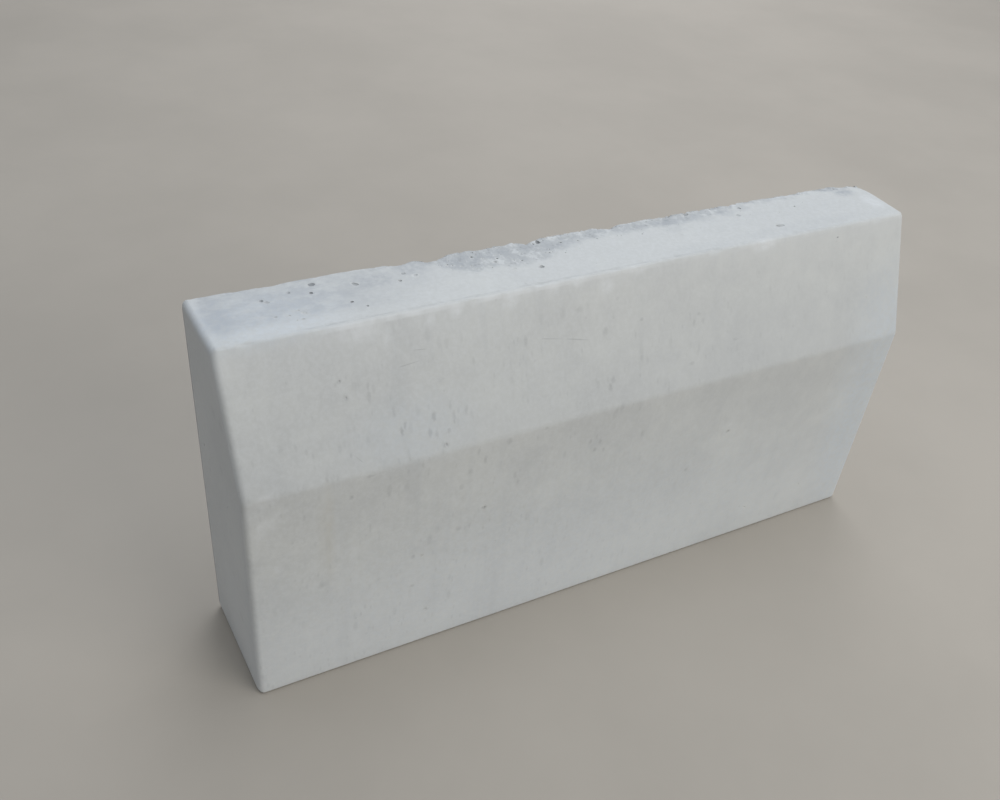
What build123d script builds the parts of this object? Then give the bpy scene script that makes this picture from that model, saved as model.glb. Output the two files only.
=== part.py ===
"""Kerb stone cast in one piece of concrete, standing on its base.

Millimetres. +X runs along the kerb, -Y is the side towards the road, +Z is up.
The origin is the middle of the base: half way along the kerb and half way through its depth.
"""

import os

from build123d import *

# Overall sizes, at the widest place of the casting
length = 600.0
height = 300.0
depth = 100.0

# Section: a plumb lower face, then a face that leans back to a flat top
lower_face_height = 200.0
top_depth = 62.0
crease_radius = 15.0

# How far each end is drawn in at the road face, so that the casting leaves its mould
end_draft = 4.0

# Rounding of the edges that the mould formed, along the kerb and around its ends
arris_radius = 3.5
end_arris_radius = 5.0

# Places and lengths that follow from the sizes
road_face_y = -depth / 2
back_y = depth / 2
top_front_y = back_y - top_depth
road_face_length = length - 2 * end_draft

with BuildPart() as kerb_stone:
    # Plan: full length at the back, which was the open face of the mould
    with BuildSketch() as plan:
        with BuildLine():
            Polyline(
                (-length / 2, back_y),
                (length / 2, back_y),
                (road_face_length / 2, road_face_y),
                (-road_face_length / 2, road_face_y),
                close=True,
            )
        make_face()
    extrude(amount=height)

    # Section: drawn looking along the kerb, with the crease between the two road faces rounded
    with BuildSketch(Plane.YZ) as section:
        with BuildLine():
            Polyline(
                (road_face_y, 0),
                (road_face_y, lower_face_height),
                (top_front_y, height),
                (back_y, height),
                (back_y, 0),
                close=True,
            )
        make_face()
        crease = section.vertices().group_by(Axis.Y)[1]
        fillet(crease, radius=crease_radius)
    extrude(amount=length / 2, both=True, mode=Mode.INTERSECT)

    # The rim of each end, apart from the struck-off edge at the back
    end_faces = kerb_stone.faces().sort_by(Axis.X)
    left_rim = end_faces[0].edges().sort_by(Axis.Y)[:-1]
    right_rim = end_faces[-1].edges().sort_by(Axis.Y)[:-1]
    fillet(left_rim + right_rim, radius=end_arris_radius)

    # The foot and the top edge of the road faces
    edges_along = kerb_stone.edges().filter_by(Axis.X).group_by(Axis.Z)
    foot_edge = edges_along[0].sort_by(Axis.Y)[0]
    top_front_edge = edges_along[-1].sort_by(Axis.Y)[0]
    fillet([foot_edge, top_front_edge], radius=arris_radius)

os.makedirs("parts", exist_ok=True)
kerb_stone.part.label = "kerb_stone"
export_step(kerb_stone.part, "parts/kerb_stone.step")
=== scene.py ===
"""A precast concrete kerb stone on a studio floor, laid out as a Blender add-on and run as a script.

Metres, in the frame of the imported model: +X runs along the kerb, -Y is the side towards the road, +Z
is up, and the origin is the middle of the base. The casting is one closed mesh. Rings of the section
give it the shape of the mould, one node tree wears that shape, and another sinks its pores and pits.
"""

import math

import bmesh
import bpy
from bpy.props import FloatProperty, FloatVectorProperty, IntProperty, PointerProperty
from mathutils import Matrix, Vector


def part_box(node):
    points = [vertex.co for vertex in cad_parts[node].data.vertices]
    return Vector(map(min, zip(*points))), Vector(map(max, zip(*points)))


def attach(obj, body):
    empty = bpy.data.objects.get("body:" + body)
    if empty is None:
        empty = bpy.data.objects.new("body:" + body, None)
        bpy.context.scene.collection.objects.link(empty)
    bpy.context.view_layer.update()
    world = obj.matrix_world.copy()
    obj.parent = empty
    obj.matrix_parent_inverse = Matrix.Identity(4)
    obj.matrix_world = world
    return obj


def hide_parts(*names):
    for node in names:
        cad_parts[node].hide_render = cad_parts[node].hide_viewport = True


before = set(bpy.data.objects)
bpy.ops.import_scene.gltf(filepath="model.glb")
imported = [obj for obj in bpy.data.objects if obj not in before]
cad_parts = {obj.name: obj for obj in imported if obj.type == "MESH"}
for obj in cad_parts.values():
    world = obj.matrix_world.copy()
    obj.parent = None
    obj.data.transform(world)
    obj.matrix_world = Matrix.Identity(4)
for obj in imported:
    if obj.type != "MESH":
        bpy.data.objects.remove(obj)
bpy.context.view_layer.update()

bl_info = {
    "name": "Concrete Kerb Stone",
    "version": (1, 0, 0),
    "blender": (4, 5, 0),
    "location": "View3D > Sidebar > Kerb",
    "description": "Builds a precast concrete kerb stone and the studio floor that it stands on",
    "category": "Object",
}

MM = 0.001
NODE = "kerb_stone"
BODY = "root"

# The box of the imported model, which the casting stays inside
LOW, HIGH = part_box(NODE)
HALF_LENGTH = HIGH.x
BACK_Y = HIGH.y
FRONT_Y = LOW.y
TOP_Z = HIGH.z

# Pits and hollows of the casting that can be told apart, on each face: millimetres along the kerb from
# its middle, millimetres up or back from the face's lower or front edge, length, width, depth, turn in
# degrees, darkness of the shade painted inside
PITS = {
    "top": (
        (-252, 44, 2.7, 3.0, 1.0, 20, 0.3), (-249, 41, 3.6, 3.2, 0.5, 0, 0.2),
        (-232, 48, 2.6, 2.8, 0.7, 0, 0.25), (-214, 53, 5.6, 4.4, 1.0, -20, 0.8),
        (-218, 43, 2.1, 2.2, 1.2, 0, 0.55), (-186, 44, 5.2, 3.2, 0.8, -45, 0.5),
        (-196, 23, 2.5, 2.6, 1.4, 0, 0.8), (-188, 15, 2.0, 2.2, 0.8, 0, 0.35),
        (-230, 21, 4.0, 3.6, 0.4, 0, 0.04), (-155, 38, 3.2, 3.0, 1.0, 10, 0.3),
        (-149, 46, 3.8, 3.2, 0.5, 0, 0.4), (-142, 41, 4.4, 3.0, 0.5, 30, 0.3),
        (-79, 40, 3.2, 3.2, 1.1, 0, 0.7), (-70, 26, 3.0, 2.8, 0.4, 0, 0.08),
        (-50, 22, 5.0, 3.8, 1.0, 15, 0.4), (13, 46, 2.0, 2.0, 0.5, 0, 0.08),
        (107, 59, 4.8, 4.0, 1.4, 0, 0.6), (158, 53, 3.8, 3.0, 1.0, -35, 0.45),
        (149, 42, 5.6, 4.0, 0.6, -30, 0.3), (172, 16, 8.4, 3.6, 0.9, -4, 0.45),
        (-34, 57, 6.0, 3.6, 1.8, 80, 0.8), (200, 61, 13, 3.6, 1.4, 3, 0.3),
        (224, 61, 9, 3.2, 1.4, -5, 0.35), (281, 57, 8, 3.6, 1.1, 0, 0.15),
        (-249, 22, 2.4, 1.7, 0.4, 0, 0.2), (-240, 21, 1.8, 1.4, 0.4, 0, 0.15),
        (-233, 25, 2.2, 1.6, 0.4, 0, 0.2), (-233, 14, 2.6, 1.7, 0.4, 0, 0.2),
    ),
    "upper": (
        (-219, 69, 1.6, 1.8, 0.5, 0, 0.06), (-216, 57, 1.8, 2.2, 0.5, 0, 0.06),
        (-148, 6, 1.8, 2.2, 0.5, 0, 0.08),
    ),
    "lower": (
        (-220, 182, 1.6, 1.8, 0.5, 0, 0.08), (-113, 134, 2.0, 2.0, 0.6, 0, 0.15),
        (-158, 38, 1.8, 1.8, 0.5, 0, 0.08), (121, 139, 2.0, 1.8, 0.6, 0, 0.2),
        (-164, 102, 1.6, 1.6, 0.5, 0, 0.06),
    ),
}


def mm(*values):
    """A vector in metres from values in millimetres."""
    return Vector(values) * MM


class KerbCasting(bpy.types.PropertyGroup):
    """Sizes of the mould's section, of its wear and of the pores."""

    crease_height: FloatProperty(
        name="Crease height", description="Height of the plumb lower face, up to the crease",
        default=0.2, unit="LENGTH")
    top_depth: FloatProperty(
        name="Top depth", description="Depth of the flat top, from its sharp front corner to the back",
        default=0.062, unit="LENGTH")
    crease_radius: FloatProperty(
        name="Crease radius", description="Rounding between the two road faces", default=0.015, unit="LENGTH")
    arris_radius: FloatProperty(
        name="Arris radius", description="Rounding of the foot and of the top edge of the road faces",
        default=0.0035, unit="LENGTH")
    end_arris_radius: FloatProperty(
        name="End arris radius", description="Rounding round the rim of each end",
        default=0.005, unit="LENGTH")
    end_draft: FloatProperty(
        name="End draft", description="How far each end is drawn in at the road face",
        default=0.004, unit="LENGTH")
    cell: FloatProperty(
        name="Cell", description="Length of the mesh's cells along the kerb, before its refined parts",
        default=0.0056, unit="LENGTH")
    waviness: FloatProperty(
        name="Waviness", description="How far the moulded faces dip", default=0.00025, unit="LENGTH")
    struck_depth: FloatProperty(
        name="Struck depth", description="Roughness of the struck-off back", default=0.0013, unit="LENGTH")
    bite_depth: FloatProperty(
        name="Bite depth", description="Depth of the largest bites out of the top edge of the back",
        default=0.0042, unit="LENGTH")
    crumble_depth: FloatProperty(
        name="Crumble depth", description="Depth of the crumbling along the top edge of the back",
        default=0.0022, unit="LENGTH")
    groove_depth: FloatProperty(
        name="Groove depth", description="Depth of the mould's joint line along the top",
        default=0.00025, unit="LENGTH")
    chip_depth: FloatProperty(
        name="Chip depth", description="Depth of the chips along the top edge of the road faces",
        default=0.0008, unit="LENGTH")
    pore_spacing: FloatProperty(
        name="Pore spacing", description="Least distance between two scattered pores",
        default=0.0021, unit="LENGTH")
    pore_radius: FloatProperty(
        name="Pore radius", description="Radius of the largest scattered pores",
        default=0.0013, unit="LENGTH")
    seed: IntProperty(name="Seed", description="Seed of the scattered pores", default=11)


class KerbFinish(bpy.types.PropertyGroup):
    """Colours of the concrete. Lime and damp are also mixed in as painted light and shade."""

    paste: FloatVectorProperty(
        name="Paste", description="Colour of the moulded faces", subtype="COLOR", size=4,
        default=(0.60, 0.61, 0.59, 1.0))
    shade: FloatVectorProperty(
        name="Shade", description="Colour of the darker clouds in the paste", subtype="COLOR", size=4,
        default=(0.53, 0.54, 0.53, 1.0))
    # The lime colour is also mixed in as painted light: at the foot and near the top of the road faces, as a
    # painted highlight along their top edge, and on the shaded left end
    lime: FloatVectorProperty(
        name="Lime", description="Colour of the lime bloom along the edges", subtype="COLOR", size=4,
        default=(0.755, 0.775, 0.785, 1.0))
    # The damp colour is also mixed in as painted shade just under the crease
    damp: FloatVectorProperty(
        name="Damp", description="Blue-grey colour of the rough and damp parts", subtype="COLOR", size=4,
        default=(0.40, 0.42, 0.44, 1.0))
    earth: FloatVectorProperty(
        name="Earth", description="Colour of the faint earth streaks", subtype="COLOR", size=4,
        default=(0.52, 0.49, 0.41, 1.0))
    cool: FloatVectorProperty(
        name="Cool", description="Cool tint of the lower face and of the left end of the top",
        subtype="COLOR", size=4, default=(0.55, 0.63, 0.72, 1.0))
    # The hollow colour is also mixed in as painted shade inside the pores and pits
    hollow: FloatVectorProperty(
        name="Hollow", description="Colour inside pores, pits and scratches", subtype="COLOR", size=4,
        default=(0.10, 0.105, 0.11, 1.0))


class KerbStage(bpy.types.PropertyGroup):
    """The studio: floor, light and camera."""

    floor: FloatVectorProperty(
        name="Floor", description="Colour of the floor", subtype="COLOR", size=4,
        default=(0.47, 0.431, 0.376, 1.0))
    floor_radius: FloatProperty(
        name="Floor radius", description="Radius of the round floor", default=9.0, unit="LENGTH")
    ambient: FloatProperty(
        name="Ambient", description="Strength of the even light from all round", default=0.295)
    overhead: FloatProperty(
        name="Overhead", description="Power of the soft light overhead", default=41.0, unit="POWER")
    front: FloatProperty(
        name="Front", description="Power of the soft light on the road side", default=51.0, unit="POWER")
    rear: FloatProperty(
        name="Rear", description="Power of the soft light on the back", default=35.0, unit="POWER")
    lens: FloatProperty(
        name="Lens", description="Focal length on a sensor 36 mm wide", default=36.0, unit="CAMERA")


class Field:
    """An output of a node. Arithmetic with it adds math nodes to the same tree."""

    def __init__(self, graph, socket):
        self.graph = graph
        self.socket = socket

    def __add__(self, other):
        return self.graph.math("ADD", self, other)

    __radd__ = __add__

    def __sub__(self, other):
        return self.graph.math("SUBTRACT", self, other)

    def __rsub__(self, other):
        return self.graph.math("SUBTRACT", other, self)

    def __mul__(self, other):
        return self.graph.math("MULTIPLY", self, other)

    def __truediv__(self, other):
        return self.graph.math("DIVIDE", self, other)

    def __abs__(self):
        return self.graph.math("ABSOLUTE", self)

    def beside(self, name):
        """Another output of the same node."""
        return Field(self.graph, self.socket.node.outputs[name])


class Graph:
    """A node tree under construction. Most of its methods add a node and return its output as a field."""

    def __init__(self, tree):
        self.tree = tree

    def fill(self, socket, value):
        """Links an input to a field or to a list of fields, or sets it to a constant."""
        if isinstance(value, list):
            for field in value:
                self.fill(socket, field)
        elif isinstance(value, Field):
            self.tree.links.new(value.socket, socket)
        else:
            socket.default_value = value

    def node(self, kind, inputs=None, **settings):
        """Adds a node, sets it up and fills its inputs."""
        node = self.tree.nodes.new(kind)
        for name, value in settings.items():
            setattr(node, name, value)
        for key, value in (inputs or {}).items():
            self.fill(node.inputs[key], value)
        return node

    def add(self, kind, inputs=None, output=0, **settings):
        """Adds a node and returns one of its outputs."""
        return Field(self, self.node(kind, inputs, **settings).outputs[output])

    def call(self, group, inputs):
        """Places a shader group and returns its output."""
        return self.add("ShaderNodeGroup", inputs, node_tree=group)

    def math(self, operation, *values, clamp=False):
        """Adds a math node."""
        return self.add("ShaderNodeMath", dict(enumerate(values)), operation=operation, use_clamp=clamp)

    def larger(self, first, second):
        """The larger of two values."""
        return self.math("MAXIMUM", first, second)

    def diagonal(self, first, second):
        """The long side of a right-angled triangle with these two short sides."""
        return self.math("SQRT", first * first + second * second)

    def vector(self, operation, *values):
        """Adds a vector math node."""
        node = self.node("ShaderNodeVectorMath", operation=operation)
        for socket, value in zip([s for s in node.inputs if s.enabled], values):
            self.fill(socket, value)
        return Field(self, next(s for s in node.outputs if s.enabled))

    def split(self, vector):
        """The x, y and z of a vector."""
        node = self.node("ShaderNodeSeparateXYZ", {0: vector})
        return [Field(self, socket) for socket in node.outputs]

    def join(self, x, y, z):
        """A vector from its x, y and z."""
        return self.add("ShaderNodeCombineXYZ", {0: x, 1: y, 2: z})

    def rise(self, value, low, high, most=1.0):
        """Rises smoothly from 0 at low to the most at high. With low above high it falls."""
        sockets = {"Value": value, "From Min": low, "From Max": high, "To Max": most}
        return self.add("ShaderNodeMapRange", sockets, interpolation_type="SMOOTHSTEP")

    def noise(self, place, size, detail=2.0, roughness=0.5):
        """Noise from 0 to 1 whose patches are about as large as size, in metres."""
        sockets = {"Vector": place, "Scale": 1 / size, "Detail": detail, "Roughness": roughness}
        return self.add("ShaderNodeTexNoise", sockets)

    def mix(self, share, first, second):
        """Mixes a share of the second colour into the first."""
        return self.add("ShaderNodeMix", {0: share, 6: first, 7: second}, output=2, data_type="RGBA")

    def stored(self, name, data_type="FLOAT"):
        """A named attribute of the geometry."""
        return self.add("GeometryNodeInputNamedAttribute", {"Name": name}, data_type=data_type)

    def store(self, geometry, name, value):
        """The geometry with a named attribute added."""
        sockets = {"Geometry": geometry, "Name": name, "Value": value}
        return self.add("GeometryNodeStoreNamedAttribute", sockets, data_type="FLOAT")


def new_group(name, kind, inputs, output):
    """A node group with inputs, as (name, type) or (name, type, default), and one output (name, type)."""
    tree = bpy.data.node_groups.new(name, kind)
    for label, socket_type, *default in inputs:
        made = tree.interface.new_socket(label, in_out="INPUT", socket_type="NodeSocket" + socket_type)
        if default:
            made.default_value = default[0]
    label, socket_type = output
    tree.interface.new_socket(label, in_out="OUTPUT", socket_type="NodeSocket" + socket_type)
    graph = Graph(tree)
    given = {s.name: Field(graph, s) for s in graph.node("NodeGroupInput").outputs if s.name}
    return graph, given, graph.node("NodeGroupOutput").inputs[0]


# The mould's shape


# Cells round each small rounding, round the crease, up the two road faces, and on the rest of the top
ARC_CELLS = 6
CREASE_CELLS = 4
LOWER_CELLS = 38
UPPER_CELLS = 20
TOP_CELLS = 13

# The first rows of the top, closer together at the mould's joint line: shares of the way to the back
WAY_BACK = 57.5
TOP_ROWS = [row / WAY_BACK for row in (1.0, 1.8, 2.5, 3.2, 3.9, 5.0, 7.0)]

# Where the cells are halved: in a band below the top, in one at the back down to its lowest rows, and
# twice more within these distances of the edge between the two
TOP_BAND = 0.012
BACK_BAND = 0.006
LOWEST_ROWS = 0.002
EDGE_REACH = 0.010
CLOSE_REACH = 0.0035


def arc(before, corner, after, radius, cells):
    """Points of the arc that rounds a corner of the section, from one tangent point to the other."""
    into = (corner - before).normalized()
    out = (after - corner).normalized()
    half_turn = into.angle(out) / 2
    inward = (out - into).normalized()
    centre = corner + inward * radius / math.cos(half_turn)
    side = math.copysign(1, into.cross(out))
    angles = [side * half_turn * (2 * i / cells - 1) for i in range(cells + 1)]
    return [centre - Matrix.Rotation(angle, 2) @ inward * radius for angle in angles]


def run(start, end, shares):
    """Points between two ends of a straight run, without its ends."""
    return [start.lerp(end, share) for share in shares]


def even(cells):
    """Shares of a run that is cut into equal cells."""
    return [i / cells for i in range(1, cells)]


def section(casting, inset, shares):
    """The four sides of the section as lists of points (y, z), each side starting at a corner.

    The base, the road faces and the top are drawn in by the inset, and the back isn't.
    """
    height, crease = TOP_Z, casting.crease_height
    top_front = BACK_Y - casting.top_depth
    lean = Vector((top_front - FRONT_Y, height - crease)).normalized()
    inward = Vector((lean.y, -lean.x))
    on_upper = Vector((FRONT_Y, crease)) + inward * inset
    base_back = Vector((BACK_Y, inset))
    foot = Vector((FRONT_Y + inset, inset))
    bend = on_upper + lean * (foot.x - on_upper.x) / lean.x
    top = on_upper + lean * (height - inset - on_upper.y) / lean.y
    top_back = Vector((BACK_Y, height - inset))

    foot_arc = arc(base_back, foot, bend, casting.arris_radius, ARC_CELLS)
    crease_arc = arc(foot, bend, top, casting.crease_radius, CREASE_CELLS)
    top_arc = arc(bend, top, top_back, casting.arris_radius, ARC_CELLS)
    return (
        [base_back] + run(foot_arc[0], base_back, shares["top"])[::-1],
        foot_arc + run(foot_arc[-1], crease_arc[0], shares["lower"])
        + crease_arc + run(crease_arc[-1], top_arc[0], shares["upper"]) + top_arc[:-1],
        [top_arc[-1]] + run(top_arc[-1], top_back, shares["top"]),
        [top_back] + run(top_back, base_back, shares["back"]),
    )


def section_shares():
    """Where the rows of cells lie along each straight run of the section."""
    last = TOP_ROWS[-1]
    up_cells = 2 * ARC_CELLS + CREASE_CELLS + LOWER_CELLS + UPPER_CELLS
    return {
        "top": TOP_ROWS + [last + (1 - last) * share for share in even(TOP_CELLS)],
        "lower": even(LOWER_CELLS),
        "upper": even(UPPER_CELLS),
        "back": even(up_cells),
    }


def stations(casting):
    """Rings of the mesh along the kerb: the end's side, how far in from it, how far the section is drawn in.

    A ring of the straight middle has no side but a share of the way from one end to the other.
    """
    radius = casting.end_arris_radius
    turns = [math.radians(90) * i / ARC_CELLS for i in range(ARC_CELLS)]
    rim = [(radius * (1 - math.cos(turn)), radius * (1 - math.sin(turn))) for turn in turns]
    cells = round(2 * HALF_LENGTH / casting.cell)
    rings = [(-1, reach, inset) for reach, inset in rim]
    rings += [(2 * i / cells - 1, radius, 0.0) for i in range(cells + 1)]
    rings += [(1, reach, inset) for reach, inset in reversed(rim)]
    return rings


def ring_points(casting, ring, sides):
    """The points of one ring of the section, set in its place along the drafted kerb."""
    share, reach, _ = ring
    points = []
    for y, z in (point for side in sides for point in side):
        drawn_in = casting.end_draft * (BACK_Y - y) / (BACK_Y - FRONT_Y)
        points.append(Vector((share * (HALF_LENGTH - drawn_in - reach), y, z)))
    return points


def moulded_form(casting):
    """The kerb as the mould gives it: rings of quads along it, closed by a grid of quads at each end."""
    shares = section_shares()
    form = bmesh.new()
    rings = []
    for station in stations(casting):
        sides = section(casting, station[2], shares)
        rings.append([form.verts.new(p) for p in ring_points(casting, station, sides)])
    for left, right in zip(rings, rings[1:]):
        for i in range(len(left)):
            form.faces.new((left[i - 1], left[i], right[i], right[i - 1]))
    counts = [len(side) for side in sides]
    for ring in (rings[0], rings[-1]):
        close_end(form, ring, counts[0], counts[1])
    bmesh.ops.recalc_face_normals(form, faces=form.faces)
    return form


def close_end(form, ring, across, up):
    """Fills an end with quads between the base, the road faces, the top and the back of its ring."""
    base = [ring[i] for i in range(across + 1)]
    front = [ring[across + i] for i in range(up + 1)]
    top = [ring[2 * across + up - i] for i in range(across + 1)]
    back = [ring[-i] for i in range(up + 1)]
    grid = [base]
    for j in range(1, up):
        v = j / up
        row = [back[j]]
        for i in range(1, across):
            u = i / across
            between = (base[i].co.lerp(top[i].co, v) + back[j].co.lerp(front[j].co, u)
                       - back[0].co.lerp(front[0].co, u).lerp(back[up].co.lerp(front[up].co, u), v))
            row.append(form.verts.new(between))
        grid.append(row + [front[j]])
    grid.append(top)
    for lower, higher in zip(grid, grid[1:]):
        for i in range(across):
            form.faces.new((lower[i], lower[i + 1], higher[i + 1], higher[i]))


def refine(form, wanted):
    """Halves the cells of the faces whose middle is wanted."""
    chosen = [face for face in form.faces if wanted(face.calc_center_median())]
    edges = {edge for face in chosen for edge in face.edges}
    bmesh.ops.subdivide_edges(form, edges=list(edges), cuts=1, use_grid_fill=True)


def from_back_edge(point):
    """Distance of a point from the straight top edge of the back."""
    return math.hypot(BACK_Y - point.y, TOP_Z - point.z)


# Bites out of the top edge of the back: millimetres along the kerb, half width, depth as a share
BITES = (
    (-241, 6, 0.25), (-147, 8, 0.7), (-120, 9, 1.0), (-81, 5, 0.2), (-61, 5, 0.3), (-41, 8, 0.65),
    (32, 8, 0.55), (86, 4, 0.2), (154, 5, 0.3), (218, 8, 0.25), (279, 7, 0.7), (294, 6, 0.7),
)

# Corners that got knocked, and hollows along the back of the top, in millimetres: centre, reach, depth
KNOCKS = (
    ((300, 50, 302), (12, 13, 9), 2.9), ((-284, -50, 196), (15, 14, 8), 1.1),
    ((-296, -12, 300), (7, 9, 9), 0.6), ((-128, 47, 300), (7, 4, 9), 0.8),
    ((-104, 38, 300), (12, 6, 9), 0.9), ((-72, 42, 300), (9, 5, 9), 0.8), ((-50, 40, 300), (6, 4, 9), 0.7),
    ((-12, 45, 300), (12, 3, 9), 0.8), ((8, 40, 300), (7, 3, 9), 0.6), ((34, 46, 300), (8, 4, 9), 0.8),
    ((52, 41, 300), (6, 3, 9), 0.6), ((80, 45, 300), (8, 4, 9), 0.8), ((100, 43, 300), (7, 5, 9), 0.8),
    ((247, 47, 300), (10, 3, 9), 0.7), ((273, 39, 300), (8, 5, 9), 0.8),
)


def bite_share(x):
    """How deep the chosen bites are at this place along the kerb, from 0 to 1."""
    return sum(depth * math.exp(-((x / MM - middle) / width) ** 2) for middle, width, depth in BITES)


def knock_depth(point):
    """How far the knocked corners and the hollows are worn away at a point."""
    total = 0.0
    for centre, reach, depth in KNOCKS:
        away = point - mm(*centre)
        total += depth * MM * math.exp(-sum((part / (size * MM)) ** 2 for part, size in zip(away, reach)))
    return total


# How steeply a spot fades towards its reach
SPOT_FADE = 1.6

# Uneven spots of each colour, in millimetres: centre, reach, strength
SPOTS = {
    "damp": (
        ((-176, 14, 300), (36, 22, 8), 0.18), ((-150, 26, 300), (30, 16, 8), 0.18),
        ((-174, 32, 300), (28, 16, 8), 0.44), ((190, 20, 300), (130, 30, 8), 0.07),
        ((88, -5, 300), (50, 10, 8), 0.1), ((-285, 20, 300), (13, 28, 8), 0.5),
        ((-170, 43, 300), (22, 8, 8), 0.15), ((-141, 39, 300), (20, 14, 8), 0.45),
        ((-104, 38, 300), (24, 12, 8), 0.45), ((-78, 40, 300), (20, 10, 8), 0.35),
        ((-45, 38, 300), (20, 10, 8), 0.2), ((-18, 34, 300), (18, 8, 8), 0.35),
        ((4, 40, 300), (10, 6, 8), 0.2), ((20, 45, 300), (9, 5, 8), 0.25),
        ((42, 41, 300), (14, 8, 8), 0.25), ((86, 39, 300), (20, 10, 8), 0.55),
        ((108, 39, 300), (12, 6, 8), 0.3), ((84, 28, 300), (14, 9, 8), 0.2),
        ((120, 33, 300), (12, 9, 8), 0.15), ((141, 38, 300), (13, 8, 8), 0.4),
        ((161, 39, 300), (10, 6, 8), 0.35), ((200, 46, 300), (8, 5, 8), 0.35),
        ((262, 46, 300), (12, 6, 8), 0.6), ((272, 37, 300), (14, 10, 8), 0.6),
        ((255, -35, 240), (40, 20, 30), 0.15), ((195, -3, 300), (100, 14, 8), 0.16),
        ((-239, 21, 300), (16, 10, 8), 0.3), ((-292, -50, 90), (34, 20, 150), 0.08),
        ((-18, -50, 168), (8, 8, 8), 0.2),
    ),
    "lime": (
        ((34, 50, 299), (34, 4, 8), 0.3), ((-12, 50, 299), (22, 4, 6), 0.3),
        ((158, 50, 299), (14, 5, 8), 0.3), ((212, 49, 299), (22, 5, 8), 0.35),
        ((238, 50, 299), (14, 5, 8), 0.4), ((284, 14, 300), (10, 16, 8), 0.3),
        ((-297, 20, 298), (4, 40, 8), 0.35), ((-245, -3, 300), (52, 9, 8), 0.15),
        ((-200, -15, 293), (20, 6, 9), 0.3), ((-182, -17, 288), (3, 5, 9), 0.3),
        ((-150, -15, 291), (5, 5, 7), 0.3), ((-130, -14, 294), (6, 5, 6), 0.38),
        ((-88, -14, 293), (8, 5, 7), 0.38), ((-53, -14, 296), (7, 5, 6), 0.3),
        ((-33, -13, 297), (8, 5, 5), 0.35), ((-8, -16, 290), (9, 5, 8), 0.3),
        ((19, -13, 298), (12, 5, 6), 0.3), ((142, -13, 297), (16, 5, 7), 0.4),
        ((-278, -50, 200), (9, 8, 7), 0.3), ((-277, -50, 179), (6, 8, 8), 0.3),
        ((-284, -50, 174), (6, 8, 12), 0.25), ((-275, -50, 133), (5, 8, 5), 0.2),
        ((121, -50, 146), (6, 8, 6), 0.2),
    ),
    "earth": (
        ((-238, -50, 150), (6, 8, 60), 0.25),
    ),
    "cool": (
        ((0, -50, 50), (440, 40, 150), 0.13), ((290, -45, 110), (70, 60, 190), 0.27),
        ((-262, 10, 300), (75, 44, 12), 0.16), ((-171, -42, 222), (60, 20, 40), 0.1),
    ),
}


def spot_strength(kind, point):
    """Strength of the chosen spots of one kind at a point, from 0 to 1."""
    strongest = 0.0
    for centre, reach, strength in SPOTS[kind]:
        if abs(point.x / MM - centre[0]) < reach[0]:
            gaps = ((part / MM - middle) / size for part, middle, size in zip(point, centre, reach))
            strongest = max(strongest, strength * min(1.0, SPOT_FADE * max(0.0, 1.0 - math.hypot(*gaps))))
    return strongest


def mark_wear(mesh):
    """Stores the chosen bites, knocks and spots on the mesh, for its node trees and its material."""
    fields = {"bite": lambda point: bite_share(point.x), "knock": knock_depth}
    for kind in SPOTS:
        fields[kind] = lambda point, kind=kind: spot_strength(kind, point)
    for name, field in fields.items():
        layer = mesh.attributes.new(name, "FLOAT", "POINT")
        layer.data.foreach_set("value", [field(vertex.co) for vertex in mesh.vertices])


# Wear and pores, as node trees


# Scattered pores per square metre where the density factor is 1
MOST_PORES = 200000.0

# Edges that turn by more than this stay crisp
CRISP_ANGLE = math.radians(38)


class Surface:
    """Fields of the casting's surface, for the node trees that wear it."""

    def __init__(self, graph):
        self.place = graph.add("GeometryNodeInputPosition")
        self.normal = graph.add("GeometryNodeInputNormal")
        self.x, self.y, self.z = graph.split(self.place)
        self.facing_x, facing_y, facing_z = graph.split(self.normal)
        below_edge = graph.rise(self.z, TOP_Z - 0.001, TOP_Z - 0.006)
        self.back = graph.rise(facing_y, 0.3, 0.9) * below_edge
        self.top = graph.rise(facing_z, 0.6, 0.9)
        self.off_base = graph.rise(facing_z, -0.6, -0.1)


def struck_relief(graph, surface, depth):
    """Relief of the struck-off back, with marks along the way that the straightedge went."""
    drawn = graph.vector("MULTIPLY", surface.place, (0.22, 1.0, 1.0))
    lumps = graph.noise(drawn, 0.010, detail=4.0, roughness=0.6)
    pitting = graph.noise(surface.place, 0.004, detail=2.0)
    return surface.back * (lumps * 0.7 + pitting * 0.3) * depth


def strip_mask(graph, surface):
    """Mask of the uneven strip along the back of the top, which is widest left of the middle."""
    widest = graph.rise(surface.x, -0.125, -0.098) * graph.rise(surface.x, 0.0, -0.05) * 0.017
    wide = graph.rise(surface.x, -0.14, -0.118) * graph.rise(surface.x, 0.17, 0.11) * 0.009
    uneven = (graph.noise(surface.place, 0.012, detail=4.0, roughness=0.6) - 0.5) * 0.022
    inner = BACK_Y - 0.004 - (widest + wide + uneven)
    share = 0.25 + graph.rise(surface.x, -0.20, -0.13) * 0.75
    return graph.rise(surface.y, inner - 0.006, inner + 0.005) * share * surface.top


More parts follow.
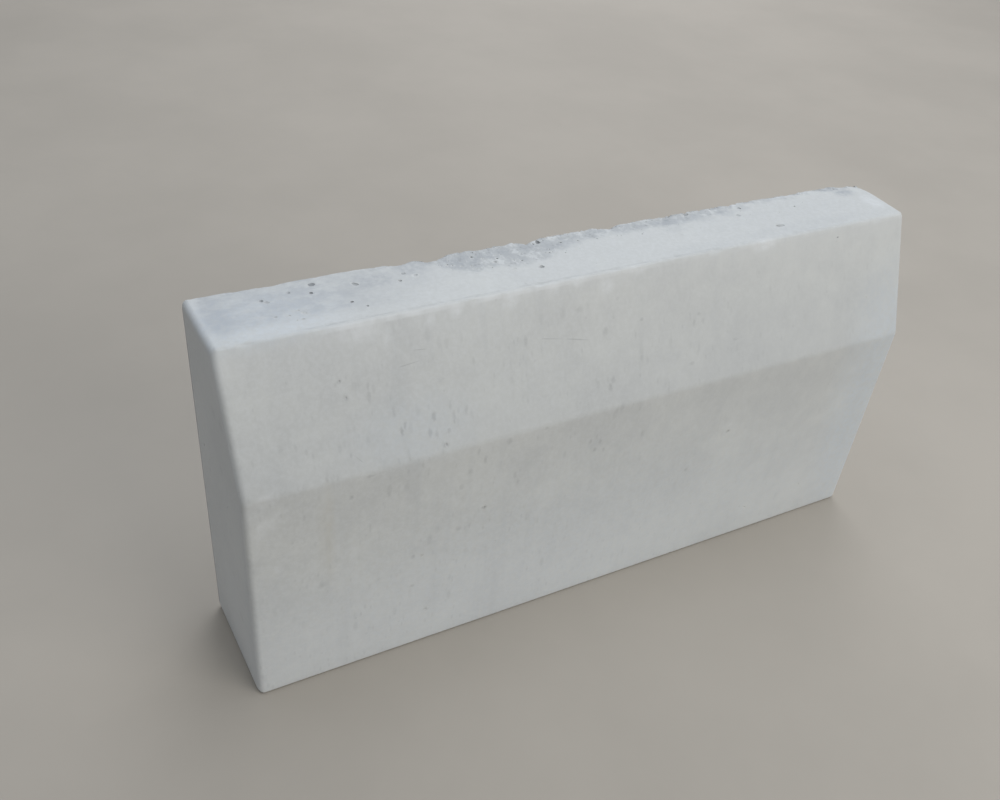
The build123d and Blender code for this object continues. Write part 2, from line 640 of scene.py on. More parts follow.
def edge_break(graph, surface, bite_depth, crumble_depth):
    """Offset that breaks the top edge of the back off along rough slanting faces, and its mask."""
    along = graph.join(surface.x, 0.0, 0.0)
    slant = graph.noise(along, 0.03) * 0.5
    share_y = 0.45 + slant
    share_z = 0.95 - slant
    away = (BACK_Y - surface.y) * share_y + (TOP_Z - surface.z) * share_z
    ragged = 0.6 + graph.noise(surface.place, 0.007, detail=3.0) * 0.8
    crumbs = graph.rise(graph.noise(surface.place, 0.0075, detail=4.0, roughness=0.65), 0.44, 0.72)
    # The left third stayed almost whole and only swells and dips a little
    whole = graph.rise(surface.x, -0.12, -0.17)
    swells = graph.rise(graph.noise(along, 0.035, detail=2.0), 0.35, 0.7) * 0.4
    finer = graph.rise(surface.x, 0.11, 0.15) * 0.55
    crumbled = crumbs * (1.0 - (whole * 0.8 + finer)) + swells
    depth = graph.stored("bite") * ragged * bite_depth + crumbled * crumble_depth
    cut = graph.larger(depth - away, 0.0)
    offset = graph.join(0.0, cut * share_y * -1.0, cut * share_z * -1.0)
    return offset, graph.rise(cut, 0.0, 0.0003)


def joint_line(graph, x, y, top_front):
    """Mask of the fine broken line that the mould's joint left behind the front edge of the top."""
    along = graph.join(x, 0.0, 0.0)
    wander = (graph.noise(along, 0.03) - 0.5) * 0.0014
    behind = y - wander - (top_front + 0.0023)
    reach = graph.rise(x, -0.26, -0.22) * graph.rise(x, 0.13, 0.07)
    broken = 0.2 + graph.rise(graph.noise(along, 0.016, detail=3.0), 0.36, 0.6) * 0.8
    return graph.rise(abs(behind), 0.0014, 0.0) * reach * broken


def arris_chips(graph, surface, top_front):
    """Mask of the small chips along the top edge of the road faces."""
    away = graph.diagonal(surface.y - top_front, TOP_Z - surface.z)
    chips = graph.rise(graph.noise(surface.place, 0.008, detail=3.0), 0.56, 0.72)
    return chips * graph.rise(away, 0.005, 0.0015)


def wear_tree(casting):
    """Node tree that wears the moulded form. Every move is inward, so the casting keeps its size."""
    graph, given, made = new_group("Kerb wear", "GeometryNodeTree", (
        ("Geometry", "Geometry"), ("Waviness", "Float"), ("Struck depth", "Float"), ("Bite depth", "Float"),
        ("Crumble depth", "Float"), ("Groove depth", "Float"), ("Chip depth", "Float"),
    ), ("Geometry", "Geometry"))
    surface = Surface(graph)
    top_front = BACK_Y - casting.top_depth
    dips = graph.noise(surface.place, 0.08, detail=1.0)
    strip = strip_mask(graph, surface)
    rough = (graph.noise(surface.place, 0.007, detail=3.0) * 0.0009
             + graph.rise(graph.noise(surface.place, 0.0035), 0.5, 0.7) * 0.0005)
    groove = joint_line(graph, surface.x, surface.y, top_front) * surface.top
    chips = arris_chips(graph, surface, top_front)
    lumpy = 0.65 + graph.noise(surface.place, 0.006, detail=3.0) * 0.7
    inward = (dips * given["Waviness"] + struck_relief(graph, surface, given["Struck depth"]) + strip * rough
              + groove * given["Groove depth"] + chips * given["Chip depth"] + graph.stored("knock") * lumpy)
    offset = graph.vector("SCALE", surface.normal, inward * surface.off_base * -1.0)
    break_off, broken = edge_break(graph, surface, given["Bite depth"], given["Crumble depth"])
    sockets = {"Geometry": given["Geometry"], "Offset": graph.vector("ADD", offset, break_off)}
    worn = graph.add("GeometryNodeSetPosition", sockets)
    worn = graph.store(worn, "open_side", graph.larger(surface.back * 0.9, strip))
    graph.fill(made, graph.store(worn, "broken", broken))
    return graph.tree


def chosen_pits(graph, points):
    """Solids of the pits that can be told apart, each with its own size and turn and an uneven outline."""
    size = graph.stored("size", "FLOAT_VECTOR")
    turn = graph.add("FunctionNodeEulerToRotation", {0: graph.stored("turn", "FLOAT_VECTOR")})
    ball = graph.add("GeometryNodeMeshIcoSphere", {"Radius": 1.0, "Subdivisions": 3})
    sockets = {"Points": points, "Instance": ball, "Scale": size, "Rotation": turn}
    pits = graph.add("GeometryNodeRealizeInstances", {0: graph.add("GeometryNodeInstanceOnPoints", sockets)})
    place = graph.add("GeometryNodeInputPosition")
    depth = graph.split(size)[2]
    swell = (graph.noise(place, 0.0035, detail=3.0) - 0.5) * depth * 2.4
    offset = graph.vector("SCALE", graph.add("GeometryNodeInputNormal"), swell)
    pits = graph.add("GeometryNodeSetPosition", {"Geometry": pits, "Offset": offset})
    # A hollow of the uneven strip is as rough inside as the strip round it
    rough = graph.rise(graph.split(place)[1], BACK_Y - 0.024, BACK_Y - 0.014) * 0.8
    return graph.store(pits, "open_side", rough)


def scattered_pores(graph, given):
    """Solids of the scattered pores: many on the back and in the strip above it, few on the other faces."""
    surface = Surface(graph)
    strip = graph.rise(surface.y, BACK_Y - 0.031, BACK_Y - 0.016) * surface.top
    busy = graph.rise(surface.x, -0.135, -0.105) * graph.rise(surface.x, 0.01, -0.02)
    patchy = graph.rise(graph.noise(surface.place, 0.05, detail=2.0), 0.42, 0.62)
    end = graph.rise(abs(surface.facing_x), 0.6, 0.9)
    density = (surface.back * patchy * 0.028 + surface.back * 0.006 + strip * busy * 0.2
               + strip * graph.rise(surface.x, -0.14, -0.11) * 0.05 + end * 0.008 + 0.0006)
    points = graph.add("GeometryNodeDistributePointsOnFaces", {
        "Mesh": given["Geometry"], "Distance Min": given["Pore spacing"], "Density Max": MOST_PORES,
        "Density Factor": density * surface.off_base, "Seed": given["Seed"],
    }, distribute_method="POISSON")
    draw = graph.add("FunctionNodeRandomValue", {"Seed": given["Seed"]}, output=1, data_type="FLOAT")
    # The tone is the darkness of the shade painted inside each pore. The pores of the road faces are filled
    # with paste and hardly show
    tone = (0.15 + draw * 0.4) * (0.25 + graph.rise(surface.y, -0.014, -0.004) * 0.75)
    radius = (0.34 + graph.math("POWER", draw, 4.0) * 0.66) * given["Pore radius"]
    pores = graph.add("GeometryNodeInstanceOnPoints", {
        "Points": graph.store(points, "hollow", tone),
        "Instance": graph.add("GeometryNodeMeshIcoSphere", {"Radius": 1.0, "Subdivisions": 1}),
        "Scale": graph.join(radius, radius * 0.8, radius * 0.8),
        "Rotation": points.beside("Rotation"),
    })
    return graph.add("GeometryNodeRealizeInstances", {0: pores})


def pore_tree():
    """Node tree that sinks the chosen pits and the scattered pores into the casting."""
    graph, given, made = new_group("Kerb pores", "GeometryNodeTree", (
        ("Geometry", "Geometry"), ("Chosen pits", "Object"), ("Pore spacing", "Float"),
        ("Pore radius", "Float"), ("Seed", "Int"), ("Material", "Material"),
    ), ("Geometry", "Geometry"))
    points = graph.add("GeometryNodeObjectInfo", {"Object": given["Chosen pits"]}, output="Geometry")
    cut = graph.add("GeometryNodeMeshBoolean", {
        "Mesh 1": given["Geometry"], "Mesh 2": [chosen_pits(graph, points), scattered_pores(graph, given)],
    }, operation="DIFFERENCE", solver="MANIFOLD")

    # Smooth faces, with a crisp rim round every pit and along the broken edges
    sharp = graph.math("GREATER_THAN", graph.add("GeometryNodeInputMeshEdgeAngle"), CRISP_ANGLE)
    smooth = graph.add("GeometryNodeSetShadeSmooth", {"Geometry": cut, "Shade Smooth": True})
    sockets = {"Geometry": smooth, "Selection": sharp, "Shade Smooth": False}
    crisp = graph.add("GeometryNodeSetShadeSmooth", sockets, domain="EDGE")
    real = graph.add("GeometryNodeRealizeInstances", {0: crisp})
    graph.fill(made, graph.add("GeometryNodeSetMaterial", {"Geometry": real, "Material": given["Material"]}))
    return graph.tree


def face_frames(casting):
    """Each face's starting point in the middle of the kerb, the way up it, and the way out of it."""
    top_front = Vector((0, BACK_Y - casting.top_depth, TOP_Z))
    crease = Vector((0, FRONT_Y, casting.crease_height))
    up_lean = (top_front - crease).normalized()
    return {
        "top": (top_front, Vector((0, 1, 0)), Vector((0, 0, 1))),
        "upper": (crease, up_lean, Vector((0, -up_lean.z, up_lean.y))),
        "lower": (Vector((0, FRONT_Y, 0)), Vector((0, 0, 1)), Vector((0, -1, 0))),
    }


def pit_points(casting):
    """An object with one point for each chosen pit, with the pit's size, turn and the darkness of the shade
    painted inside it.
    """
    faces = face_frames(casting)
    mesh = bpy.data.meshes.new("pit_points")
    places, sizes, turns, pit_shades = [], [], [], []
    for face, pits in PITS.items():
        corner, way_up, out = faces[face]
        flat = Matrix((Vector((1, 0, 0)), way_up, out)).transposed()
        for along, up, length, width, depth, turn, tone in pits:
            places.append(corner + mm(along, 0, 0) + way_up * up * MM)
            sizes.append(mm(length / 2, width / 2, depth))
            turns.append(Vector((flat @ Matrix.Rotation(math.radians(turn), 3, "Z")).to_euler()))
            pit_shades.append(tone)
    mesh.from_pydata(places, [], [])
    for name, values in (("size", sizes), ("turn", turns)):
        layer = mesh.attributes.new(name, "FLOAT_VECTOR", "POINT")
        layer.data.foreach_set("vector", [part for value in values for part in value])
    mesh.attributes.new("hollow", "FLOAT", "POINT").data.foreach_set("value", pit_shades)
    points = bpy.data.objects.new("pit_points", mesh)
    bpy.context.scene.collection.objects.link(points)
    return points


def give(modifier, values):
    """Sets a node modifier's inputs by name, through the identifiers of their sockets."""
    for item in modifier.node_group.interface.items_tree:
        if item.item_type == "SOCKET" and item.in_out == "INPUT" and item.name in values:
            modifier[item.identifier] = values[item.name]


def through(obj, tree, values):
    """The object's mesh after a node tree, as a plain mesh with no modifier left."""
    modifier = obj.modifiers.new(tree.name, "NODES")
    modifier.node_group = tree
    give(modifier, values)
    evaluated = obj.evaluated_get(bpy.context.evaluated_depsgraph_get())
    mesh = bpy.data.meshes.new_from_object(evaluated)
    obj.modifiers.remove(modifier)
    obj.data = mesh
    return mesh


class KERB_OT_cast_stone(bpy.types.Operator):
    """Builds the kerb stone: moulded form, wear, pores and concrete"""

    bl_idname = "kerb.cast_stone"
    bl_label = "Cast kerb stone"

    def execute(self, context):
        casting = context.scene.kerb_casting
        form = moulded_form(casting)
        # The top and the back carry relief, and the ragged edge between them carries the finest
        refine(form, lambda p: p.z > TOP_Z - TOP_BAND or (p.y > BACK_Y - BACK_BAND and p.z > LOWEST_ROWS))
        refine(form, lambda p: from_back_edge(p) < EDGE_REACH)
        refine(form, lambda p: from_back_edge(p) < CLOSE_REACH)
        mesh = bpy.data.meshes.new("kerb_casting")
        form.to_mesh(mesh)
        form.free()
        mark_wear(mesh)
        stone = bpy.data.objects.new("kerb_casting", mesh)
        context.scene.collection.objects.link(stone)

        through(stone, wear_tree(casting), {
            "Waviness": casting.waviness, "Struck depth": casting.struck_depth,
            "Bite depth": casting.bite_depth, "Crumble depth": casting.crumble_depth,
            "Groove depth": casting.groove_depth, "Chip depth": casting.chip_depth,
        })
        spots = pit_points(casting)
        finished = through(stone, pore_tree(), {
            "Chosen pits": spots, "Pore spacing": casting.pore_spacing, "Pore radius": casting.pore_radius,
            "Seed": casting.seed, "Material": concrete_material(context.scene.kerb_finish, casting),
        })
        bpy.data.objects.remove(spots)
        finished.name = "kerb_casting"
        for name in ("bite", "knock", "size", "turn", "id"):
            finished.attributes.remove(finished.attributes[name])
        if not finished.polygons:
            raise RuntimeError("the casting came out empty")
        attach(stone, BODY)
        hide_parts(NODE)
        return {"FINISHED"}


# Concrete


def mark_group():
    """Shader group: a soft mark round a centre, with its reach along each axis."""
    graph, given, made = new_group("Soft mark", "ShaderNodeTree", (
        ("Place", "Vector"), ("Centre", "Vector"), ("Reach", "Vector", (0.01, 0.01, 0.01)),
        ("Strength", "Float", 0.2),
    ), ("Mask", "Float"))
    away = graph.vector("SUBTRACT", given["Place"], given["Centre"])
    away = graph.vector("LENGTH", graph.vector("DIVIDE", away, given["Reach"]))
    graph.fill(made, graph.rise(away, 1.15, 0.2, given["Strength"]))
    return graph.tree


def line_group():
    """Shader group: a thin line from one point to another, such as a scratch."""
    graph, given, made = new_group("Thin line", "ShaderNodeTree", (
        ("Place", "Vector"), ("From", "Vector"), ("To", "Vector"), ("Width", "Float", 0.001),
    ), ("Mask", "Float"))
    way = graph.vector("SUBTRACT", given["To"], given["From"])
    off = graph.vector("SUBTRACT", given["Place"], given["From"])
    share = graph.math("DIVIDE", graph.vector("DOT_PRODUCT", off, way), graph.vector("DOT_PRODUCT", way, way),
                       clamp=True)
    gap = graph.vector("LENGTH", graph.vector("SUBTRACT", off, graph.vector("SCALE", way, share)))
    fade = graph.rise(share, 0.0, 0.15) * graph.rise(share, 1.0, 0.8)
    graph.fill(made, graph.rise(gap / given["Width"], 1.0, 0.2) * fade)
    return graph.tree


def cloud_group():
    """Shader group: soft clouds of two sizes, from 0 to 1."""
    graph, given, made = new_group("Clouds", "ShaderNodeTree", (
        ("Place", "Vector"), ("Scale", "Float", 20.0),
    ), ("Value", "Float"))
    wide = graph.add("ShaderNodeTexNoise", {"Vector": given["Place"], "Scale": given["Scale"], "Detail": 2.0})
    sockets = {"Vector": given["Place"], "Scale": given["Scale"] * 5.5, "Detail": 4.0}
    fine = graph.add("ShaderNodeTexNoise", sockets)
    graph.fill(made, graph.rise(wide * 0.62 + fine * 0.38, 0.3, 0.7))
    return graph.tree


def speck_group():
    """Shader group: small specks in random places, in the given share of the cells of a lattice."""
    graph, given, made = new_group("Specks", "ShaderNodeTree", (
        ("Place", "Vector"), ("Scale", "Float", 200.0), ("Share", "Float", 0.2), ("Radius", "Float", 0.25),
    ), ("Mask", "Float"))
    away = graph.add("ShaderNodeTexVoronoi", {"Vector": given["Place"], "Scale": given["Scale"]})
    first, second, third = graph.split(away.beside("Color"))
    shown = graph.math("LESS_THAN", first, given["Share"])
    radius = given["Radius"] * (0.5 + second * 0.8)
    graph.fill(made, graph.rise(away, radius, radius * 0.35) * shown * (0.4 + third * 0.6))
    return graph.tree


# Dark marks of the road faces: millimetres along the kerb from its middle, millimetres up the face from
# its lower edge, half width, half height, strength
MARKS = {
    "upper": (
        (-219, 69, 2.0, 2.2, 0.14), (-216, 57, 2.6, 3.2, 0.18), (-209, 64, 3.5, 3.5, 0.09),
        (-200, 54, 1.8, 6.0, 0.14), (-184, 39, 2.0, 4.5, 0.15), (-177, 28, 1.6, 3.0, 0.22),
        (-180, 24, 1.6, 4.0, 0.24), (-155, 29, 2.0, 4.5, 0.22), (-154, 16, 1.4, 4.5, 0.12),
        (-145, 16, 1.8, 2.4, 0.16), (-142, 34, 1.4, 4.5, 0.11), (-140, 25, 1.8, 5.5, 0.13),
        (-148, 6, 2.8, 3.0, 0.18), (-147, 54, 3.0, 3.0, 0.1), (-130, 28, 1.8, 5.0, 0.12),
        (-205, 24, 2.0, 4.5, 0.09), (-6, 23, 2.6, 4.0, 0.17), (-9, 18, 2.2, 4.5, 0.19),
        (-11, 62, 3.6, 3.6, 0.15), (22, 65, 2.4, 1.4, 0.2), (76, 59, 2.4, 1.6, 0.13),
        (71, 53, 1.8, 4.0, 0.12), (80, 53, 2.4, 2.4, 0.1), (68, 20, 3.6, 1.8, 0.15),
        (-32, 83, 4.5, 3.0, 0.1), (112, 31, 3.6, 1.5, 0.14),
    ),
    "lower": (
        (-206, 197, 5.0, 1.6, 0.15), (-220, 182, 2.2, 2.6, 0.19), (-128, 175, 2.6, 3.6, 0.15),
        (-116, 183, 1.9, 5.0, 0.17), (-122, 193, 1.9, 4.5, 0.13), (-134, 162, 3.0, 4.0, 0.1),
        (-97, 195, 2.8, 3.6, 0.17), (-66, 198, 2.2, 2.2, 0.15), (-113, 134, 2.9, 2.9, 0.23),
        (-89, 159, 1.6, 5.0, 0.12), (-86, 151, 1.6, 4.0, 0.11), (-23, 172, 1.7, 3.6, 0.17),
        (-18, 162, 2.0, 3.0, 0.19), (-14, 169, 1.6, 4.0, 0.15), (-9, 159, 1.6, 3.0, 0.13),
        (-171, 103, 2.2, 3.0, 0.18), (-164, 102, 2.0, 2.0, 0.16), (-171, 71, 2.6, 1.8, 0.16),
        (-134, 119, 3.2, 3.2, 0.16), (-243, 103, 3.4, 4.5, 0.16), (-158, 38, 3.0, 3.0, 0.16),
        (121, 139, 3.0, 2.2, 0.23), (84, 107, 2.6, 2.6, 0.16),
    ),
}

# How far a mark reaches into its face, in millimetres
MARK_DEPTH = 8

# Scratches, in millimetres: from, to, width
SCRATCHES = (
    ((-177, -25, 265), (-156, -25, 267), 0.6), ((-172, -22, 275), (-154, -22, 273), 0.5),
    ((-218, -44, 217), (-210, -47, 208), 0.6), ((-46, -27, 259), (-22, -30, 254), 0.7),
    ((-66, -26, 263), (-46, -27, 259), 0.5),
)


class Coat:
    """What the layers of the concrete share: its finish, fields of its surface, and its colour so far."""

    def __init__(self, graph, finish, casting):
        self.graph = graph
        self.casting = casting
        for name in KerbFinish.__annotations__:
            setattr(self, name, tuple(getattr(finish, name)))
        self.colour = self.shade
        self.speck_group = speck_group()
        self.place = graph.add("ShaderNodeTexCoord", output="Object")
        self.x, self.y, self.z = graph.split(self.place)
        self.top = graph.rise(self.z, TOP_Z - 0.0025, TOP_Z - 0.0008)
        self.road = graph.rise(self.y, 0.03, -0.004) * (1.0 - self.top)
        self.cloudy = graph.call(cloud_group(), {"Place": self.place, "Scale": 14.0})
        # The finest marks of the road faces show most towards the left
        self.busy = 0.4 + graph.rise(self.x, 0.25, -0.15) * 0.6
        self.stored = {name: graph.add("ShaderNodeAttribute", output="Fac", attribute_name=name)
                       for name in ("open_side", "broken", "hollow", *SPOTS)}

    def tint(self, share, colour):
        """Mixes a share of one more colour in."""
        self.colour = self.graph.mix(share, self.colour, colour)

    def specks(self, place, scale, share, radius):
        """Mask of small specks in a share of the cells, of which so many go to the metre."""
        sockets = {"Place": place, "Scale": scale, "Share": share, "Radius": radius}
        return self.graph.call(self.speck_group, sockets)


def paste_layer(coat):
    """Clouds in the paste with a fine mottling over them."""
    graph = coat.graph
    coat.tint(graph.larger(coat.cloudy, coat.top * 0.5), coat.paste)
    mottle = graph.rise(graph.noise(coat.place, 0.0032, detail=4.0, roughness=0.65), 0.35, 0.7)
    coat.tint(mottle * graph.larger(coat.busy * 0.2, coat.top * 0.2), coat.lime)


def road_layer(coat):
    """Streaks and dashes that run down the road faces, darker under the crease as painted shade, and paler at
    the foot and near the top as painted light.
    """
    graph = coat.graph
    crease = coat.casting.crease_height
    # Painted shade just under the crease. The upper face is also a little darker, more so where it was
    # handled
    crease_shade = graph.rise(abs(coat.z - (crease - 0.003)), 0.075, 0.0)
    upper = graph.rise(coat.z, crease - 0.004, crease + 0.006)
    handled = graph.rise(coat.x, -0.02, -0.09) * graph.rise(coat.x, -0.26, -0.20)
    darker = crease_shade * 0.12 + upper * 0.07 + upper * handled * 0.02
    coat.tint(darker * coat.road, coat.damp)
    # Painted light: paler at the foot, most towards the left, and towards the top of the upper face
    foot = graph.rise(coat.z, 0.15, 0.02) * (0.20 + graph.rise(coat.x, 0.15, -0.05) * 0.18)
    painted_light = foot + graph.rise(coat.z, TOP_Z - 0.05, TOP_Z) * 0.12
    coat.tint(painted_light * coat.road, coat.lime)
    warmer = graph.rise(coat.z, TOP_Z - 0.055, TOP_Z - 0.01) * graph.rise(coat.x, -0.14, -0.02)
    coat.tint(warmer * coat.road * 0.05, coat.earth)
    wide = graph.noise(graph.vector("MULTIPLY", coat.place, (1.0, 0.3, 0.07)), 0.011, detail=3.0)
    streaks = graph.rise(wide, 0.48, 0.75) * (0.45 + handled * 0.4) * 0.15
    coat.tint(streaks * coat.road, coat.damp)
    stretched = graph.vector("MULTIPLY", coat.place, (1.0, 0.4, 0.4))
    bruises = coat.specks(stretched, 150.0, 0.45, 0.36) * (0.12 + upper * 0.08)
    dashes = coat.specks(stretched, 270.0, 0.4, 0.4) * (0.1 + upper * 0.04)
    grouped = graph.rise(graph.noise(coat.place, 0.03, detail=2.0), 0.33, 0.6)
    below_edge = 0.3 + graph.rise(coat.z, TOP_Z - 0.014, TOP_Z - 0.038) * 0.7
    worn = (bruises + dashes) * grouped * below_edge
    coat.tint(worn * coat.busy * coat.road, coat.hollow)


def top_layer(coat):
    """The top: mottled blue-grey in its left third, with a plainer band along its front edge."""
    graph = coat.graph
    ragged = (graph.noise(coat.place, 0.014, detail=4.0) - 0.5) * 0.03
    left = graph.rise(coat.x + ragged, -0.17, -0.205)
    behind = graph.rise(coat.y + ragged * 0.6, -0.003, 0.012)
    inside = graph.rise(coat.x + ragged * 0.6, 0.001 - HALF_LENGTH, 0.012 - HALF_LENGTH)
    drawn = graph.vector("MULTIPLY", coat.place, (0.65, 1.0, 1.0))
    patches = graph.rise(graph.noise(drawn, 0.010, detail=5.0, roughness=0.7), 0.36, 0.64)
    coat.tint(left * behind * inside * (0.18 + patches * 0.5) * coat.top, coat.damp)
    faint = graph.rise(graph.noise(coat.place, 0.02, detail=3.0), 0.5, 0.75)
    coat.tint(faint * coat.top * 0.035, coat.damp)
    coat.tint(coat.top * 0.06, coat.lime)


def open_layer(coat):
    """The open side of the mould: blotched, specked, and pale where it crumbled."""
    graph = coat.graph
    open_side = coat.stored["open_side"]
    drawn = graph.vector("MULTIPLY", coat.place, (1.35, 1.0, 1.0))
    blotches = graph.rise(graph.noise(drawn, 0.0115, detail=5.0, roughness=0.66), 0.36, 0.62)
    coat.tint(open_side * (0.14 + blotches * 0.46), coat.damp)
    coat.tint(open_side * graph.rise(blotches, 0.4, 0.0) * coat.top * 0.3, coat.lime)
    coat.tint(coat.specks(coat.place, 270.0, 0.6, 0.38) * open_side * 0.26, coat.hollow)
    coat.tint(coat.stored["broken"] * (0.25 + blotches * 0.3), coat.lime)


def bloom_and_light_layer(coat):
    """Lime bloom with a painted highlight along the top edge of the road faces, and lime bloom at the rims of
    the ends, with painted light on the shaded left end.
    """
    graph = coat.graph
    top_front = BACK_Y - coat.casting.top_depth
    off_arris = graph.diagonal(coat.y - (top_front - 0.0008), TOP_Z - 0.0023 - coat.z)
    along = graph.noise(graph.join(coat.x, 0.0, 0.0), 0.022, detail=3.0)
    uneven = graph.noise(coat.place, 0.012, detail=4.0)
    left = graph.rise(coat.x, 0.09, -0.12)
    # Painted highlight along the top edge of the road faces, partly lime bloom, strongest towards the left
    thin = (graph.rise(off_arris + uneven * 0.001, 0.0034, 0.0014) * graph.rise(along, 0.3, 0.6)
            * (0.12 + left * 0.42) * graph.rise(coat.x, -0.245, -0.212))
    # Painted light in a soft band below that edge
    soft = graph.rise(off_arris, 0.016, 0.002) * (1.0 - coat.top) * 0.06
    from_end = HALF_LENGTH - abs(coat.x)
    # Lime bloom round the rims of the ends, and painted light that lifts the shaded left end
    rim = graph.rise(from_end + uneven * 0.010, 0.020, 0.008) * (0.03 + left * 0.16)
    end_face = from_end + (coat.y - BACK_Y) * 0.04
    pale_end = graph.rise(end_face, 0.003, 0.0006) * 0.22
    on_end = graph.rise(end_face, 0.0014, 0.0006)
    high = graph.larger(on_end, 0.25 + graph.rise(coat.z, TOP_Z - 0.045, TOP_Z - 0.01) * 0.75)
    coat.tint(graph.larger(thin + soft, (rim + pale_end) * high), coat.lime)


def mark_layer(coat):
    """Spots, marks, scratches, specks, the joint line, and painted shade inside the pits and pores."""
    graph = coat.graph
    uneven = 0.5 + graph.rise(graph.noise(coat.place, 0.005, detail=4.0, roughness=0.6), 0.3, 0.68)
    for kind in SPOTS:
        coat.tint(coat.stored[kind] * uneven, getattr(coat, kind))
    dark = joint_line(graph, coat.x, coat.y, BACK_Y - coat.casting.top_depth) * coat.top * 0.12
    sockets = {"Vector": coat.place, "Scale": 350.0, "Detail": 2.0}
    shake = graph.add("ShaderNodeTexNoise", sockets, output="Color")
    shake = graph.vector("SCALE", graph.vector("SUBTRACT", shake, (0.5, 0.5, 0.5)), 0.003)
    shaken = graph.vector("ADD", coat.place, shake)
    faces = face_frames(coat.casting)
    soft_mark, thin_line = mark_group(), line_group()
    for face, marks in MARKS.items():
        corner, way_up, _ = faces[face]
        for along, up, half_width, half_height, strength in marks:
            dark = graph.larger(dark, graph.call(soft_mark, {
                "Place": shaken, "Centre": corner + mm(along, 0, 0) + way_up * up * MM,
                "Reach": mm(half_width, MARK_DEPTH, half_height), "Strength": strength,
            }))
    for start, end, width in SCRATCHES:
        sockets = {"Place": coat.place, "From": mm(*start), "To": mm(*end), "Width": width * MM}
        dark = graph.larger(dark, graph.call(thin_line, sockets) * 0.21)
    dark = graph.larger(dark, coat.specks(coat.place, 110.0, 0.12, 0.2) * 0.1)
    # Painted shade inside the pores and pits
    dark = graph.larger(dark, coat.stored["hollow"] * 0.62)
    coat.tint(dark, coat.hollow)


def concrete_material(finish, casting):
    """Cast concrete: smooth paste with clouds, streaks and lime bloom, a rough open side, and painted light
    and shade.
    """
    material = bpy.data.materials.new("cast_concrete")
    material.use_nodes = True
    material.node_tree.nodes.clear()
    graph = Graph(material.node_tree)
    coat = Coat(graph, finish, casting)
    for layer in (paste_layer, road_layer, top_layer, open_layer, bloom_and_light_layer, mark_layer):
        layer(coat)

    # Fine grain everywhere, and coarser relief where the mould's skin is missing, in metres
    bare = graph.larger(coat.stored["open_side"], coat.stored["broken"])
    grain = graph.noise(coat.place, 0.0009, detail=3.0, roughness=0.7)
    coarse = graph.noise(coat.place, 0.003, detail=4.0, roughness=0.7) * bare
    height = grain * 0.00004 + coarse * 0.00038
    shader = graph.add("ShaderNodeBsdfPrincipled", {
        "Base Color": coat.colour, "Roughness": 0.60 + coat.cloudy * 0.08 + bare * 0.22,
        "Normal": graph.add("ShaderNodeBump", {"Height": height, "Strength": 1.0, "Distance": 1.0}),
        "Specular IOR Level": 0.35,
    })
    graph.node("ShaderNodeOutputMaterial", {"Surface": shader})
    return material


# The studio


# Corners of the round floor, and how dark its darker patches are beside the rest
FLOOR_CORNERS = 96
FLOOR_SHADE = 0.93

# Colour of the even light from all round
SKY = (0.88, 0.93, 1.0, 1.0)

# Soft lights, by the setting that gives each one's power: colour, width, place
LIGHTS = {
    "overhead": ((0.865, 0.917, 0.99), 3.0, (0.4, 0.2, 2.8)),
    "front": ((1.0, 0.98, 0.945), 2.4, (1.4, -2.6, 1.5)),
    "rear": ((0.945, 0.96, 1.0), 2.4, (1.6, 2.6, 1.6)),
}

# Camera: eye and width of the sensor in millimetres, way it looks round from +Y towards +X, tilt down and
# lean in degrees
EYE = (-398.9, -530.2, 662.2)
SENSOR_WIDTH = 36.0
HEADING = 31.093
TILT = 37.204
LEAN = 6.106


def floor_material(stage):
    """A plain pale floor with a faint unevenness of tone."""
    material = bpy.data.materials.new("studio_floor")
    material.use_nodes = True
    graph = Graph(material.node_tree)
    place = graph.add("ShaderNodeTexCoord", output="Object")
    tone = graph.noise(place, 0.35, detail=5.0, roughness=0.6)
    darker = tuple(part * FLOOR_SHADE for part in stage.floor[:3]) + (1.0,)
    colour = graph.mix(graph.rise(tone, 0.3, 0.7), darker, tuple(stage.floor))
    shader = material.node_tree.nodes["Principled BSDF"]
    for name, value in (("Base Color", colour), ("Roughness", 0.85), ("Specular IOR Level", 0.2)):
        graph.fill(shader.inputs[name], value)
    return material


def soft_light(name, power, colour, size, place):
    """A large square light, turned to the middle of the kerb."""
    data = bpy.data.lights.new(name, "AREA")
    data.energy = power
    data.color = colour
    data.shape = "SQUARE"
    data.size = size
    lamp = bpy.data.objects.new(name, data)
    bpy.context.scene.collection.objects.link(lamp)
    lamp.location = place
    to_kerb = Vector((0, 0, TOP_Z / 2)) - lamp.location
    lamp.rotation_euler = to_kerb.to_track_quat("-Z", "Y").to_euler()


def add_camera(lens):
    """Adds the camera and makes it the scene's."""
    data = bpy.data.cameras.new("studio_camera")
    data.lens = lens
    data.sensor_fit = "HORIZONTAL"
    data.sensor_width = SENSOR_WIDTH
    camera = bpy.data.objects.new("studio_camera", data)
    bpy.context.scene.collection.objects.link(camera)
    turn = (Matrix.Rotation(math.radians(-HEADING), 4, "Z") @ Matrix.Rotation(math.radians(90 - TILT), 4, "X")
            @ Matrix.Rotation(math.radians(LEAN), 4, "Z"))
    camera.matrix_world = Matrix.Translation(mm(*EYE)) @ turn
    bpy.context.scene.camera = camera


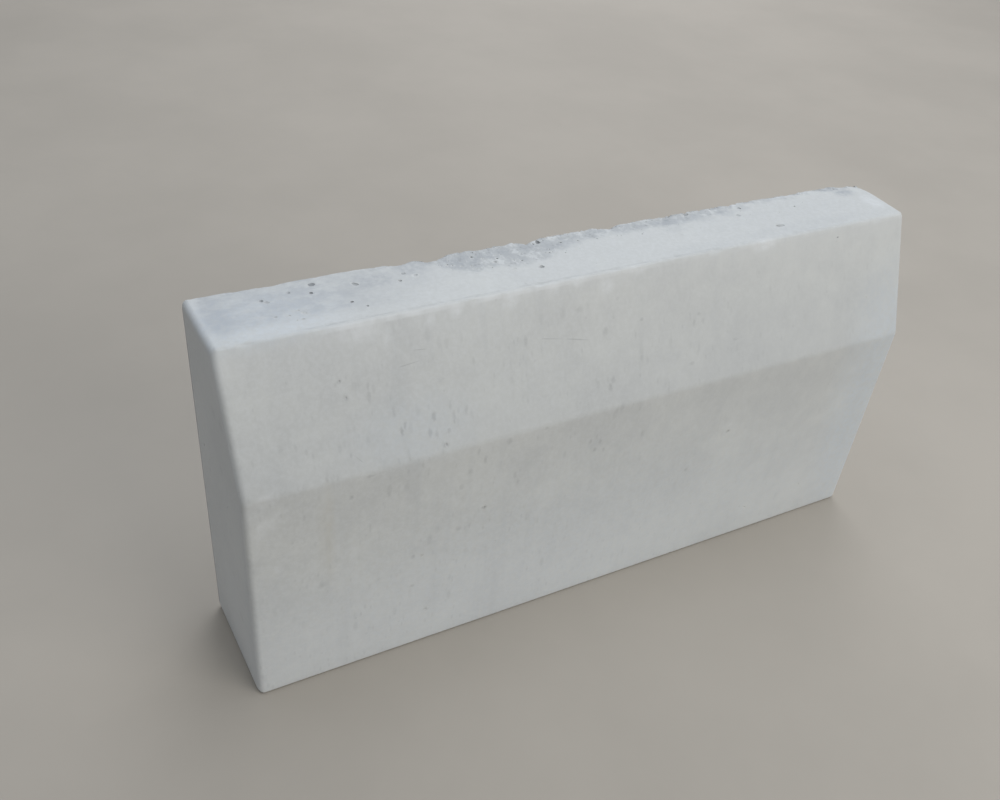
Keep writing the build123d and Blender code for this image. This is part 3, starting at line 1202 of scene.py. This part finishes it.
class KERB_OT_set_stage(bpy.types.Operator):
    """Builds the studio: floor, soft lights and camera"""

    bl_idname = "kerb.set_stage"
    bl_label = "Set stage"

    def execute(self, context):
        stage = context.scene.kerb_stage
        disc = bmesh.new()
        bmesh.ops.create_circle(disc, cap_ends=True, segments=FLOOR_CORNERS, radius=stage.floor_radius)
        mesh = bpy.data.meshes.new("studio_floor")
        disc.to_mesh(mesh)
        disc.free()
        floor = bpy.data.objects.new("studio_floor", mesh)
        context.scene.collection.objects.link(floor)
        mesh.materials.append(floor_material(stage))

        world = bpy.data.worlds.new("studio_world")
        world.use_nodes = True
        background = world.node_tree.nodes["Background"]
        background.inputs["Color"].default_value = SKY
        background.inputs["Strength"].default_value = stage.ambient
        context.scene.world = world
        for name, (colour, size, place) in LIGHTS.items():
            soft_light(name + "_light", getattr(stage, name), colour, size, place)
        add_camera(stage.lens)
        context.scene.view_settings.view_transform = "Standard"
        return {"FINISHED"}


class KERB_PT_sidebar(bpy.types.Panel):
    """Settings and operators of the kerb stone"""

    bl_idname = "KERB_PT_sidebar"
    bl_label = "Kerb stone"
    bl_space_type = "VIEW_3D"
    bl_region_type = "UI"
    bl_category = "Kerb"

    def draw(self, context):
        scene = context.scene
        for title, settings, operator in (
            ("Casting", scene.kerb_casting, KERB_OT_cast_stone),
            ("Finish", scene.kerb_finish, None),
            ("Stage", scene.kerb_stage, KERB_OT_set_stage),
        ):
            box = self.layout.box()
            box.label(text=title)
            for name in settings.__annotations__:
                box.prop(settings, name)
            if operator:
                box.operator(operator.bl_idname)


CLASSES = (KerbCasting, KerbFinish, KerbStage, KERB_OT_cast_stone, KERB_OT_set_stage, KERB_PT_sidebar)


def register():
    """Makes the settings, the operators and the panel known to Blender."""
    for cls in CLASSES:
        bpy.utils.register_class(cls)
    bpy.types.Scene.kerb_casting = PointerProperty(type=KerbCasting)
    bpy.types.Scene.kerb_finish = PointerProperty(type=KerbFinish)
    bpy.types.Scene.kerb_stage = PointerProperty(type=KerbStage)


def unregister():
    """Takes the settings, the operators and the panel out again."""
    del bpy.types.Scene.kerb_stage
    del bpy.types.Scene.kerb_finish
    del bpy.types.Scene.kerb_casting
    for cls in reversed(CLASSES):
        bpy.utils.unregister_class(cls)


def main():
    """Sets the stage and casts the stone."""
    register()
    bpy.ops.kerb.set_stage()
    bpy.ops.kerb.cast_stone()


if __name__ == "__main__":
    main()
